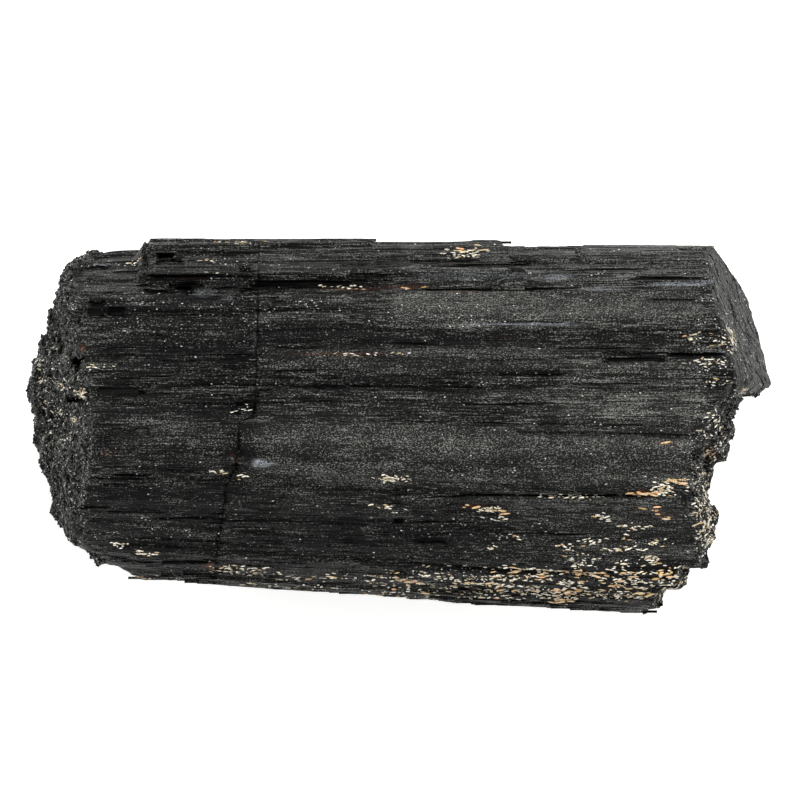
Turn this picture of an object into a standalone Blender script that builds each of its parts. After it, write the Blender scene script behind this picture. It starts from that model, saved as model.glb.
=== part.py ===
"""A large black tourmaline (schorl) crystal lying on one of its prism faces.

The crystal is one solid. Its long axis runs along X, and +Z points up from the face it rests on.
It is built the way it grew and broke:
- a rounded three-sided prism, drawn as two cross-sections and lofted between them
- long parallel laths that stand a little proud of the prism and give it its ribs and ledges
- pyramid faces that end the prism, three at each end
- splintered breaks at two lower corners, where the fibres snapped at different lengths
- small blocky crystallites all over the left termination, with a few pits between them
"""

import math
import random

import bmesh
import bpy
from mathutils import Vector

# All sizes below are in millimetres. The finished mesh is scaled to metres.
MM = 0.001
SEED = 27

# The prism: two cross-sections, as (Y, Z) corners, anticlockwise as seen from +X.
LEFT_X, RIGHT_X = -60.0, 60.0
CORE_OVERRUN = 24.0
LEFT_SECTION = (
    (30.4, 25.0), (29.2, 35.5), (22.8, 44.5), (15.0, 51.0), (10.6, 51.0), (6.0, 54.2), (2.6, 54.0),
    (-3.0, 57.6), (-9.0, 58.4), (-13.5, 56.0), (-27.0, 45.0), (-33.0, 36.0), (-35.5, 26.0),
    (-32.7, 12.0), (-25.6, 1.0), (-20.0, -1.0), (18.0, -1.0), (25.0, 5.0), (29.5, 15.0),
)
RIGHT_SECTION = (
    (30.6, 26.0), (29.4, 36.0), (23.2, 46.5), (15.4, 53.4), (10.4, 53.2), (5.6, 56.6), (1.6, 56.2),
    (-4.8, 59.2), (-16.2, 60.4), (-20.0, 58.0), (-34.8, 46.5), (-41.2, 37.0), (-43.1, 27.0),
    (-40.4, 13.0), (-31.6, 1.5), (-25.0, -1.0), (20.0, -1.0), (27.0, 5.5), (30.4, 15.5),
)
SIDES = len(LEFT_SECTION)
BASE_SIDE = 15

# Pyramid faces: (tilt from the cross-section plane, turn about X from +Z towards +Y), in degrees.
LEFT_APEX = (-75.6, 0.6, 11.0)
LEFT_FACES = ((19.4, 0.0), (30.0, 105.0), (25.5, -115.0))
RIGHT_APEX = (77.0, 2.5, 22.0)
RIGHT_FACES = ((24.8, 57.5), (22.0, 180.0), (20.0, -60.0))
# A small fourth face takes off the right end's upper corner.
CORNER_POINT = (69.3, 25.0, 22.0)
CORNER_FACE = (38.0, 90.0)

# Ledges and ribs that are part of the crystal's look: (first side, last side, start X, end X, height).
# A side is counted round the cross-section from its first corner, with shares of a side as decimals.
MAIN_LATHS = (
    (1.00, 1.95, -50.4, 23.5, 2.0),
    (0.00, 1.02, -50.4, -4.8, 2.2),
    (0.00, 1.02, -50.4, 22.0, 1.5),
    (18.40, 19.00, -49.6, 14.0, 1.3),
    (0.10, 0.95, 38.0, 57.0, 0.7),
    (1.05, 1.45, 37.0, 80.0, 1.1),
    (1.50, 2.05, 22.0, 80.0, 0.9),
    (2.10, 2.70, -80.0, -30.5, 1.0),
    (2.15, 2.90, -2.0, 60.0, 0.5),
    (4.00, 5.10, -28.0, 80.0, 0.5),
    (7.05, 7.95, -31.0, 80.0, 0.9),
    (9.10, 9.45, -80.0, 10.0, 0.8),
    (9.55, 9.95, -70.0, 46.0, 0.6),
    (10.15, 10.75, -52.0, 62.0, 0.9),
    (11.10, 11.80, -44.0, 80.0, 0.8),
    (12.20, 12.90, -80.0, 38.0, 1.0),
    (16.30, 16.85, -80.0, 30.0, 0.9),
    (17.20, 17.90, -38.0, 80.0, 1.2),
    (18.20, 18.80, -80.0, 12.0, 0.8),
)
# Channels and long cracks, given in the same way: (side, start X, end X, width, depth).
MAIN_GROOVES = (
    (1.98, -28.5, -3.0, 2.0, 1.4),
    (2.06, -5.0, 29.0, 0.9, 1.0),
    (1.62, 34.0, 62.0, 0.7, 0.8),
    (4.30, 40.5, 64.4, 1.1, 0.9),
    (6.90, -61.0, 33.0, 0.7, 0.7),
    (5.90, -44.0, 26.0, 1.5, 0.5),
    (9.04, 14.0, 46.0, 0.7, 0.9),
    (8.80, -65.0, -50.0, 0.7, 0.9),
    (9.50, -67.0, -33.0, 0.6, 0.8),
    (10.95, -57.0, 20.0, 0.8, 0.9),
    (12.05, -40.0, 60.0, 0.8, 0.8),
    (15.25, -60.0, 52.0, 1.6, 1.9),
    (15.62, -66.0, 20.0, 1.3, 1.7),
    (17.05, -50.0, 48.0, 1.2, 1.2),
)
# Finer laths and cracks, spread evenly round the crystal. Each range is its smallest and largest size.
LATH_COUNT = 112
LATH_WIDTH = (1.6, 5.0)
LATH_HEIGHT = (0.25, 0.9)
LATH_LENGTH = (14.0, 95.0)
LATH_STARTS = (-85.0, 80.0)
LATH_SLANT = 0.5
LATH_TOP_SHARE = (0.5, 0.85)
GROOVE_COUNT = 30
GROOVE_WIDTH = (0.4, 0.9)
GROOVE_DEPTH = (0.4, 0.8)
GROOVE_LENGTH = (15.0, 60.0)
GROOVE_STARTS = (-75.0, 40.0)
GROOVE_FLOOR_SHARE = 0.35
RECESS_FLOOR_SHARE = 0.9
GROOVE_MOUTH = 3.0
EMBED = 2.5

# Where the fibres snapped: (Y, X) along each broken corner's outline. The fibres are blocks of
# FIBRE_WIDTH by FIBRE_HEIGHT whose ends differ by up to FIBRE_JITTER. FIBRE_WANDER moves them sideways.
RIGHT_BREAK = (
    (2.0, 74.5), (-0.5, 69.8), (-3.0, 67.9), (-8.0, 67.0), (-12.4, 63.6), (-14.5, 62.4), (-18.0, 62.4),
    (-21.0, 64.0), (-26.0, 64.0), (-32.0, 62.4), (-36.0, 56.0), (-40.0, 52.6), (-46.0, 49.4),
)
LEFT_BREAK = (
    (-24.0, -71.4), (-26.0, -67.2), (-28.5, -64.6), (-31.0, -58.6), (-34.5, -54.4), (-36.5, -48.0),
    (-40.0, -40.0),
)
FIBRE_WIDTH = 4.3
FIBRE_HEIGHT = 5.6
FIBRE_JITTER = 1.1
FIBRE_WANDER = 1.6
FIBRE_OVERLAP = (0.35, 0.9)
FIBRE_LEAN = 0.6
FIBRE_ROWS = (-4.0, 71.0)
BREAK_BULGE = 3.2
MID_HEIGHT = 28.0

# The left termination's crystallites and pits. The broken corner below LOWEST_Y has none.
CRYSTALLITE_COUNT = 150
CRYSTALLITE_SIZE = (2.4, 5.6)
CRYSTALLITE_RISE = (0.1, 0.6)
CRYSTALLITE_LEAN = 0.14
CRYSTALLITE_LOWEST_Y = -21.0
CRYSTALLITE_LOWEST_Z = 4.5
INSIDE_MARGIN = 1.07
PITS = (
    # Y, Z, size across Y, size across Z, depth
    (5.6, 50.5, 3.6, 3.0, 5.0),
    (0.8, 53.0, 4.4, 2.4, 4.0),
    (-5.0, 30.0, 2.6, 2.2, 2.0),
)
# Recesses in the upper flank: (side, start X, end X, width, depth).
RECESSES = ((1.12, -49.4, -43.6, 2.6, 2.6), (2.05, -45.0, -37.5, 2.4, 2.0), (1.70, -30.5, -28.2, 2.0, 2.0))


def section_at(x):
    """The cross-section's corners at this x, blended between the two drawn ones."""
    share = (x - LEFT_X) / (RIGHT_X - LEFT_X)
    return [Vector(left).lerp(Vector(right), share) for left, right in zip(LEFT_SECTION, RIGHT_SECTION)]


def skin_point(x, around):
    """The plain prism's surface at this x and this count of sides round the cross-section."""
    corners = section_at(x)
    side = math.floor(around)
    y, z = corners[side % SIDES].lerp(corners[(side + 1) % SIDES], around - side)
    return Vector((x, y, z))


def side_length(side):
    """How wide one side of the prism is, half way along the crystal."""
    return (skin_point(0.0, side + 1) - skin_point(0.0, side)).length


def side_at(share):
    """The count of sides at this share of the way round the crystal, by distance."""
    distance = share * sum(side_length(side) for side in range(SIDES))
    side = 0
    while distance > side_length(side):
        distance -= side_length(side)
        side += 1
    return side + distance / side_length(side)


def outward(x, first, last):
    """The direction out of the crystal on the stretch of skin from first to last."""
    along = (skin_point(x + 1.0, first) - skin_point(x, first)).normalized()
    across = skin_point(x, last) - skin_point(x, first)
    return across.cross(along).normalized()


def collection(name):
    made = bpy.data.collections.new(name)
    bpy.context.scene.collection.children.link(made)
    return made


def link_mesh(name, bm, home):
    """Turns a closed bmesh into an object. Its skewed sides become flat triangles that face outward."""
    bmesh.ops.triangulate(bm, faces=bm.faces)
    bmesh.ops.recalc_face_normals(bm, faces=bm.faces)
    if bm.calc_volume(signed=True) < 0:
        bmesh.ops.reverse_faces(bm, faces=bm.faces)
    mesh = bpy.data.meshes.new(name)
    bm.to_mesh(mesh)
    bm.free()
    made = bpy.data.objects.new(name, mesh)
    home.objects.link(made)
    return made


def block(name, home, place):
    """A cube whose corners go where place(x, y, z) puts them. Each of x, y and z is -1 or 1."""
    bm = bmesh.new()
    bmesh.ops.create_cube(bm, size=2.0)
    for vert in bm.verts:
        vert.co = place(*vert.co)
    return link_mesh(name, bm, home)


def strip(name, home, sides, ends, levels, shrink, slant=0.0):
    """A long block on the skin. levels are its inner and outer heights, and shrink narrows them."""
    first, last = sides
    up = outward(sum(ends) / 2, first, last)

    def place(x, y, z):
        across = (first + last) / 2 + (last - first) / 2 * y * shrink[z > 0]
        end = ends[x > 0] + slant * y * z
        return skin_point(end, across) + up * levels[z > 0]

    return block(name, home, place)


def core(home):
    """The plain prism: a cylinder primitive whose rings take the two cross-sections."""
    bm = bmesh.new()
    bmesh.ops.create_cone(bm, segments=SIDES, cap_ends=True, radius1=1.0, radius2=1.0, depth=2.0)
    for vert in bm.verts:
        side = round(math.atan2(vert.co.y, vert.co.x) / math.tau * SIDES) % SIDES
        x = (RIGHT_X + CORE_OVERRUN) if vert.co.z > 0 else (LEFT_X - CORE_OVERRUN)
        vert.co = skin_point(x, side)
    return link_mesh("tourmaline_crystal", bm, home)


def laths(home, rng):
    for index, (first, last, start, end, height) in enumerate(MAIN_LATHS):
        strip(f"main_lath_{index}", home, (first, last), (start, end), (-EMBED, height), (1.0, 0.9))
    for index in range(LATH_COUNT):
        centre = side_at((index + rng.random()) / LATH_COUNT)
        if math.floor(centre) == BASE_SIDE:
            continue
        width = rng.uniform(*LATH_WIDTH) / side_length(math.floor(centre))
        length = rng.uniform(*LATH_LENGTH)
        start = rng.uniform(LATH_STARTS[0], LATH_STARTS[1] - length / 2)
        height = rng.uniform(*LATH_HEIGHT)
        strip(
            f"lath_{index}", home, (centre - width / 2, centre + width / 2), (start, start + length),
            (-EMBED, height), (1.0, rng.uniform(*LATH_TOP_SHARE)), rng.uniform(-LATH_SLANT, LATH_SLANT),
        )


def groove(name, home, side, start, end, width, depth, floor_share):
    half = width / 2 / side_length(math.floor(side))
    strip(name, home, (side - half, side + half), (start, end), (-depth, GROOVE_MOUTH), (floor_share, 1.5))


def grooves(home, rng):
    for index, (side, start, end, width, depth) in enumerate(MAIN_GROOVES):
        groove(f"main_groove_{index}", home, side, start, end, width, depth, GROOVE_FLOOR_SHARE)
    for index, (side, start, end, width, depth) in enumerate(RECESSES):
        groove(f"recess_{index}", home, side, start, end, width, depth, RECESS_FLOOR_SHARE)
    for index in range(GROOVE_COUNT):
        side = side_at((index + rng.random()) / GROOVE_COUNT)
        if math.floor(side) == BASE_SIDE:
            continue
        start = rng.uniform(*GROOVE_STARTS)
        end = start + rng.uniform(*GROOVE_LENGTH)
        width, depth = rng.uniform(*GROOVE_WIDTH), rng.uniform(*GROOVE_DEPTH)
        groove(f"groove_{index}", home, side, start, end, width, depth, GROOVE_FLOOR_SHARE)


def face_normal(face, end):
    """A pyramid face's outward direction. end is -1 for the left end and 1 for the right."""
    tilt, turn = (math.radians(angle) for angle in face)
    return Vector((end * math.cos(tilt), math.sin(tilt) * math.sin(turn), math.sin(tilt) * math.cos(turn)))


def envelope(home):
    """A large block trimmed to the pyramid faces and to the resting face, which the crystal stays inside."""
    bm = bmesh.new()
    bmesh.ops.create_cube(bm, size=300.0)
    cuts = [(LEFT_APEX, face_normal(face, -1)) for face in LEFT_FACES]
    cuts += [(RIGHT_APEX, face_normal(face, 1)) for face in RIGHT_FACES]
    cuts += [(CORNER_POINT, face_normal(CORNER_FACE, 1)), ((0.0, 0.0, 0.0), Vector((0.0, 0.0, -1.0)))]
    for point, normal in cuts:
        everything = bm.verts[:] + bm.edges[:] + bm.faces[:]
        bmesh.ops.bisect_plane(bm, geom=everything, plane_co=point, plane_no=normal, clear_outer=True)
        bmesh.ops.holes_fill(bm, edges=[edge for edge in bm.edges if edge.is_boundary])
    return link_mesh("pyramid_envelope", bm, home)


def outline_x(outline, y):
    """The broken corner's X at this Y, along straight lines between its outline's points."""
    points = sorted(outline)
    for (y0, x0), (y1, x1) in zip(points, points[1:]):
        if y0 <= y <= y1:
            return x0 + (x1 - x0) * (y - y0) / (y1 - y0)
    return points[0][1] if y < points[0][0] else points[-1][1]


def splinter_break(name, home, rng, outline, end):
    """Blocks that cut the fibres off at uneven lengths. Fibres half way up reach furthest."""
    highest = max(y for y, _ in outline)
    lowest = min(y for y, _ in outline)
    columns = math.ceil((highest - lowest) / FIBRE_WIDTH)
    rows = math.ceil((FIBRE_ROWS[1] - FIBRE_ROWS[0]) / FIBRE_HEIGHT)
    shifts = [rng.uniform(-0.5, 0.5) for _ in range(columns)]
    for index in range(columns * rows):
        column, row = index % columns, index // columns
        y = highest - (column + 0.5) * FIBRE_WIDTH
        z = FIBRE_ROWS[0] + (row + shifts[column]) * FIBRE_HEIGHT
        bulge = BREAK_BULGE * ((z - MID_HEIGHT) / MID_HEIGHT) ** 2
        x = outline_x(outline, y) - end * (bulge + rng.uniform(-0.3, 1.0) * FIBRE_JITTER)
        y += FIBRE_WANDER * math.sin(0.11 * z + 0.8)
        half_y = FIBRE_WIDTH / 2 + rng.uniform(*FIBRE_OVERLAP)
        half_z = FIBRE_HEIGHT / 2 + rng.uniform(*FIBRE_OVERLAP)
        lean = rng.uniform(-FIBRE_LEAN, FIBRE_LEAN)

        def place(u, v, w, x=x, y=y, z=z, half_y=half_y, half_z=half_z, lean=lean):
            near = x + lean * v * w if u * end < 0 else end * 100.0
            return Vector((near, y + v * half_y, z + w * half_z))

        block(f"{name}_{index}", home, place)


def left_end_x(y, z):
    """X of the left termination's surface over the cross-section's point (y, z)."""
    apex = Vector(LEFT_APEX)
    found = []
    for tilt, turn in LEFT_FACES:
        slope = math.tan(math.radians(tilt))
        turn = math.radians(turn)
        found.append(apex.x + slope * ((y - apex.y) * math.sin(turn) + (z - apex.z) * math.cos(turn)))
    return max(found)


def inside_section(x, y, z):
    """True if the section's point (y, z) is inside the prism at this x, with a little to spare."""
    y, z = y * INSIDE_MARGIN, MID_HEIGHT + (z - MID_HEIGHT) * INSIDE_MARGIN
    corners = section_at(x)
    crossings = 0
    for first, last in zip(corners, corners[1:] + corners[:1]):
        if (first.y > z) != (last.y > z):
            crossings += y < first.x + (last.x - first.x) * (z - first.y) / (last.y - first.y)
    return crossings % 2 == 1


def crystallites(home, rng):
    """Small blocks half sunk in the left termination, each turned a little on its own."""
    made = 0
    while made < CRYSTALLITE_COUNT:
        y, z = rng.uniform(CRYSTALLITE_LOWEST_Y, 31.0), rng.uniform(CRYSTALLITE_LOWEST_Z, 60.0)
        x = left_end_x(y, z)
        if not inside_section(x, y, z):
            continue
        half = [rng.uniform(*CRYSTALLITE_SIZE) / 2 for _ in range(3)]
        turn = rng.uniform(0, math.tau)
        tip, roll = (rng.uniform(-CRYSTALLITE_LEAN, CRYSTALLITE_LEAN) for _ in range(2))
        rise = rng.uniform(*CRYSTALLITE_RISE)

        def place(u, v, w, x=x, y=y, z=z, half=half, turn=turn, tip=tip, roll=roll, rise=rise):
            v, w = v * half[1], w * half[2]
            across = v * math.cos(turn) - w * math.sin(turn)
            up = v * math.sin(turn) + w * math.cos(turn)
            depth = half[0] * (1.0 + u) - rise + tip * across + roll * up
            return Vector((x + depth, y + across, z + up))

        block(f"crystallite_{made}", home, place)
        made += 1


def pits(home):
    for index, (y, z, width, height, depth) in enumerate(PITS):
        mouth = left_end_x(y, z)

        def place(u, v, w, y=y, z=z, width=width, height=height, depth=depth, mouth=mouth):
            taper = 0.75 if u > 0 else 1.15
            x = mouth + depth if u > 0 else mouth - 4.0
            return Vector((x, y + v * width / 2 * taper, z + w * height / 2 * taper))

        block(f"pit_{index}", home, place)


def boolean(body, operation, other):
    """Joins, cuts or trims the body with an object or with everything in a collection."""
    modifier = body.modifiers.new(f"{operation.lower()} {other.name}", "BOOLEAN")
    modifier.operation = operation
    if isinstance(other, bpy.types.Collection):
        modifier.operand_type = "COLLECTION"
        modifier.collection = other
    else:
        modifier.object = other


def finish_mesh(body):
    """Applies the Booleans, scales to metres and puts the origin under the middle of the crystal."""
    bpy.context.view_layer.update()
    graph = bpy.context.evaluated_depsgraph_get()
    mesh = bpy.data.meshes.new_from_object(body.evaluated_get(graph))
    body.modifiers.clear()
    body.data = mesh
    low = [min(vert.co[axis] for vert in mesh.vertices) for axis in range(3)]
    high = [max(vert.co[axis] for vert in mesh.vertices) for axis in range(3)]
    for vert in mesh.vertices:
        vert.co.x = (vert.co.x - (low[0] + high[0]) / 2) * MM
        vert.co.y = (vert.co.y - (low[1] + high[1]) / 2) * MM
        vert.co.z = (vert.co.z - low[2]) * MM


def schorl():
    """Black tourmaline: almost black, with a low, glassy sheen."""
    material = bpy.data.materials.new("schorl")
    material.use_nodes = True
    shader = material.node_tree.nodes["Principled BSDF"]
    shader.inputs["Base Color"].default_value = (0.018, 0.018, 0.017, 1.0)
    shader.inputs["Roughness"].default_value = 0.45
    shader.inputs["Metallic"].default_value = 0.0
    shader.inputs["IOR"].default_value = 1.64
    return material


def main():
    for old in list(bpy.data.objects):
        bpy.data.objects.remove(old)
    rng = random.Random(SEED)
    crystal = collection("tourmaline")
    growth = collection("growth")
    cutters = collection("cutters")
    crust = collection("crust")
    hollows = collection("hollows")

    body = core(crystal)
    laths(growth, rng)
    trim = envelope(crystal)
    grooves(cutters, rng)
    splinter_break("right_break", cutters, rng, RIGHT_BREAK, 1)
    splinter_break("left_break", cutters, rng, LEFT_BREAK, -1)
    crystallites(crust, rng)
    pits(hollows)

    boolean(body, "UNION", growth)
    boolean(body, "INTERSECT", trim)
    boolean(body, "DIFFERENCE", cutters)
    boolean(body, "UNION", crust)
    boolean(body, "DIFFERENCE", hollows)
    finish_mesh(body)
    for helper in [trim, *growth.objects, *cutters.objects, *crust.objects, *hollows.objects]:
        bpy.data.objects.remove(helper)
    body.data.materials.clear()
    body.data.materials.append(schorl())


main()
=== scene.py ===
# %% [markdown]
# # A black tourmaline crystal
#
# The real object is one stout crystal of schorl, the black, iron-rich tourmaline. It grew as a bundle of
# parallel needles, so its sides are striped with ribs and cracks along its length. One end is a crust of
# small blocky crystals. The other is a smooth pyramid face above a splintered break. Grains of pale
# feldspar, rust and mica cling to it.
#
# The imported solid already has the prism, its ledges and its ends. It could be shown as it is, but its long
# flat faces would look cut. This script keeps its form and gives it the fine surface.

import bmesh
import bpy
import numpy as np
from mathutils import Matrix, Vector


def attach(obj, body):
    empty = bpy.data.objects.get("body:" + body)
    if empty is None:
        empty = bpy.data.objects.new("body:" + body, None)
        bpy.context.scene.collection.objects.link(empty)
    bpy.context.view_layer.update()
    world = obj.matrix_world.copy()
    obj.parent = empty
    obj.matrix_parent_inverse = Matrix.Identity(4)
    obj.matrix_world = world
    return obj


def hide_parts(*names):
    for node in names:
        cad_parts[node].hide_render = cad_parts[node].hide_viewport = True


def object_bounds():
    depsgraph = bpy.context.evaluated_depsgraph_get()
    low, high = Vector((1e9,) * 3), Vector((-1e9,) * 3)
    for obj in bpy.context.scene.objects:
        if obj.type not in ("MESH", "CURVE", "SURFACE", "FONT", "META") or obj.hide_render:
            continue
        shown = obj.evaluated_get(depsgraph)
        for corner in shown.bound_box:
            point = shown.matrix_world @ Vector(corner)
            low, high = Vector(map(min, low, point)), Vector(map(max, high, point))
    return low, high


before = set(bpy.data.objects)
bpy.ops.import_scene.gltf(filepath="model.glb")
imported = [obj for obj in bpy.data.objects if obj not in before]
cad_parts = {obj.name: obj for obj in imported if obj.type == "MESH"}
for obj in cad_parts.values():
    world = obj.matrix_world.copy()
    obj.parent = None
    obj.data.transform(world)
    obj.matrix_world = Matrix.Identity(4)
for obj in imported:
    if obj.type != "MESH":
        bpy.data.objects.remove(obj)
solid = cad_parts["tourmaline_crystal"]
solid_box = [list(corner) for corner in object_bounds()]
MM = 0.001
LOW, HIGH = (np.array(corner) / MM for corner in solid_box)
LENGTH, WIDTH, HEIGHT = HIGH - LOW
print(f"solid: {LENGTH:.1f} x {WIDTH:.1f} x {HEIGHT:.1f} mm, {len(solid.data.polygons)} faces")

# %% [markdown]
# ## Meshes as arrays
#
# Blender can hand over all of a mesh's vertices at once as an array. Shaping hundreds of thousands of them
# with whole-array arithmetic takes a moment, where a loop over vertices would take minutes.

# %% Reading and moving vertices
def coordinates(mesh):
    """The mesh's vertices as an array, in millimetres."""
    flat = np.empty(len(mesh.vertices) * 3, dtype=np.float32)
    mesh.vertices.foreach_get("co", flat)
    return flat.reshape(-1, 3).astype(float) / MM


def vertex_normals(mesh):
    """The direction that the surface faces at each vertex."""
    flat = np.empty(len(mesh.vertices) * 3, dtype=np.float32)
    mesh.vertex_normals.foreach_get("vector", flat)
    return flat.reshape(-1, 3).astype(float)


def move_to(mesh, points):
    """Moves the mesh's vertices to these points, in millimetres."""
    mesh.vertices.foreach_set("co", (points * MM).astype(np.float32).ravel())
    mesh.update()


def unit(vectors):
    """The same directions, each with a length of one."""
    return vectors / np.maximum(np.linalg.norm(vectors, axis=1, keepdims=True), 1e-9)


corners = coordinates(solid.data)
print(f"the solid has {len(corners)} corners")

# %% [markdown]
# ## Softening
#
# Drawing each vertex towards the average of its neighbours rounds off whatever is sharp. The same sum does
# for directions, so one function wears the edges here and smooths the normals there.

# %% Softening by neighbours
def softened(mesh, vectors, rounds, share=1.0):
    """Moves each vertex's vector towards its neighbours' average, as many times as rounds says."""
    ends = np.empty(len(mesh.edges) * 2, dtype=np.int32)
    mesh.edges.foreach_get("vertices", ends)
    first, second = ends[0::2], ends[1::2]
    count = len(vectors)
    neighbours = (np.bincount(first, minlength=count) + np.bincount(second, minlength=count))[:, None]
    share = np.broadcast_to(share, count)[:, None]
    for _ in range(rounds):
        total = np.empty_like(vectors)
        for axis in range(3):
            total[:, axis] = np.bincount(first, vectors[second, axis], count)
            total[:, axis] += np.bincount(second, vectors[first, axis], count)
        vectors = vectors + share * (total / neighbours - vectors)
    return vectors


print("softening is ready, with a share from 0 to 1 for each vertex")

# %% [markdown]
# ## The view
#
# The crystal lies on a table, and the camera hangs straight above it, a metre up. The lens is chosen so that
# the crystal fills a known part of an 800 pixel frame, and then any pixel can be turned into a place on the
# crystal. Heights matter a little: a point nearer to the camera looks further from the middle of the frame.

# %% The camera, and where a pixel lands
FRAME_PIXELS = 800.0
CAMERA_HEIGHT = 1000.0
LENS = 85.0
SEEN_LEFT, SEEN_RIGHT = 25.0, 774.0
SEEN_TOP, SEEN_BOTTOM = 237.0, 615.0
# Each round of aiming moves the camera less than the one before, so a few are enough.
AIMING_ROUNDS = 4

seen_middle = np.array([(SEEN_LEFT + SEEN_RIGHT) / 2, (SEEN_TOP + SEEN_BOTTOM) / 2])
eye = np.zeros(2)
for _ in range(AIMING_ROUNDS):
    slopes = (corners[:, :2] - eye) / (CAMERA_HEIGHT - corners[:, 2:])
    low, high = slopes.min(axis=0), slopes.max(axis=0)
    pixels_per_slope = (SEEN_RIGHT - SEEN_LEFT) / (high[0] - low[0])
    wanted = (seen_middle - FRAME_PIXELS / 2) * (1, -1) / pixels_per_slope
    eye = eye + ((low + high) / 2 - wanted) * CAMERA_HEIGHT

camera = bpy.data.objects.new("camera", bpy.data.cameras.new("camera"))
bpy.context.scene.collection.objects.link(camera)
bpy.context.scene.camera = camera
camera.location = Vector((eye[0], eye[1], CAMERA_HEIGHT)) * MM
camera.data.lens = LENS
camera.data.sensor_width = LENS * FRAME_PIXELS / pixels_per_slope


def pixels_of(points):
    """The pixel, across and down, at which each point shows."""
    slopes = (points[:, :2] - eye) / (CAMERA_HEIGHT - points[:, 2:])
    return FRAME_PIXELS / 2 + slopes * (pixels_per_slope, -pixels_per_slope)


print(f"one pixel is {CAMERA_HEIGHT / pixels_per_slope:.3f} mm on the table")

# %% [markdown]
# ## Helpers for nodes and colours
#
# Colours are written the way a designer picks them, as sRGB hex, and turned to the linear values that a
# shader works in. One helper adds any node, for materials and for Geometry Nodes alike.

# %% Colour and node helpers
def linear(hex_colour):
    """Turns '#rrggbb' into the linear colour with alpha that a shader socket takes."""
    shares = [int(hex_colour[start:start + 2], 16) / 255 for start in (1, 3, 5)]
    return [s / 12.92 if s <= 0.04045 else ((s + 0.055) / 1.055) ** 2.4 for s in shares] + [1.0]


def add(tree, kind, inputs=None, stops=(), **settings):
    """Adds a node and returns its outputs.

    An input takes either another node's output, which is linked to it, or a plain value. The settings are
    the node's own choices, such as its operation. Stops are a ramp's positions and hex colours.
    """
    node = tree.nodes.new(kind)
    for name, value in settings.items():
        setattr(node, name, value)
    for key, given in (inputs or {}).items():
        if isinstance(given, bpy.types.NodeSocket):
            tree.links.new(given, node.inputs[key])
        else:
            node.inputs[key].default_value = given
    for index, (position, colour) in enumerate(stops):
        elements = node.color_ramp.elements
        element = elements[index] if index < 2 else elements.new(position)
        element.position, element.color = position, linear(colour)
    return node.outputs


def new_material(name):
    """A new material with its node tree and its shader."""
    material = bpy.data.materials.new(name)
    material.use_nodes = True
    return material, material.node_tree, material.node_tree.nodes["Principled BSDF"]


print(f"the sRGB grey #808080 is {linear('#808080')[0]:.3f} in linear light")

# %% [markdown]
# ## From the solid to a fine, even mesh
#
# The solid is made of long thin triangles, which can't carry fine relief. Cutting each one up would keep
# their uneven shapes. A voxel remesh turns the form into an even grid of small faces instead. The crystal
# changes quickly across its ribs and slowly along them, so the solid is squeezed lengthways first,
# remeshed, and stretched back: each cell ends up long and narrow, like the fibres themselves. The solid
# itself is never touched, only a merged copy of it.

# %% A fine copy of the solid
SQUEEZE = 2.4
CELL = 0.24
MERGE_WITHIN = 1e-7


def evaluated(thing):
    """A plain mesh of the object with its modifiers applied."""
    bpy.context.view_layer.update()
    return bpy.data.meshes.new_from_object(thing.evaluated_get(bpy.context.evaluated_depsgraph_get()))


def keep_result(thing):
    """Applies the object's modifiers and removes them."""
    mesh = evaluated(thing)
    thing.modifiers.clear()
    thing.data = mesh


bm = bmesh.new()
bm.from_mesh(solid.data)
bmesh.ops.remove_doubles(bm, verts=bm.verts, dist=MERGE_WITHIN)
crystal = bpy.data.objects.new("schorl_crystal", bpy.data.meshes.new("schorl_crystal"))
bm.to_mesh(crystal.data)
bm.free()
bpy.context.scene.collection.objects.link(crystal)

lengthways = np.array([SQUEEZE, 1.0, 1.0])
move_to(crystal.data, coordinates(crystal.data) / lengthways)
remesh = crystal.modifiers.new("remesh", "REMESH")
remesh.mode = "VOXEL"
remesh.voxel_size = CELL * MM
keep_result(crystal)
move_to(crystal.data, coordinates(crystal.data) * lengthways)
print(f"fine copy: {len(crystal.data.vertices)} vertices")

# %% [markdown]
# ## Chance without a random generator
#
# Much of the surface is random, yet it has to come out the same on each run. Each random number here comes
# from a small hash of whole numbers, so a point's height depends on nothing but its place.

# %% Chance and a soft step
def chance(*numbers):
    """A share from 0 to 1 for each set of whole numbers, the same each run."""
    mixed = np.array([374761393], dtype=np.uint32)
    for number in numbers:
        mixed = (mixed ^ np.asarray(number).astype(np.int64).astype(np.uint32)) * np.uint32(2654435761)
        mixed = mixed ^ (mixed >> np.uint32(15))
    mixed = mixed * np.uint32(2246822519)
    return (mixed ^ (mixed >> np.uint32(13))) / 2.0**32


def rise(value, start, end):
    """0 before start, 1 after end and smooth between. It falls if end is below start."""
    share = np.clip((value - start) / (end - start), 0.0, 1.0)
    return share * share * (3.0 - 2.0 * share)


print(f"the average of a thousand chances is {chance(np.arange(1000)).mean():.2f}")

# %% [markdown]
# ## Needles that snap
#
# Tourmaline's ribs are the sides of parallel needles, and needles snap across. Each point of the surface
# belongs to the nearest needle in the cross-section, and to one stretch of that needle along the length.
# Each stretch stands a little higher or lower than its neighbours. Ordinary noise stretched along the
# crystal could draw ribs too, but without flat tops and square broken ends.

# %% Needles and their stretches
STEP_SHARE = 0.3
# How far along a stretch its step, or its slope, to the next one begins.
STEP_FROM, SLOPE_FROM = 0.985, 0.35


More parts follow.
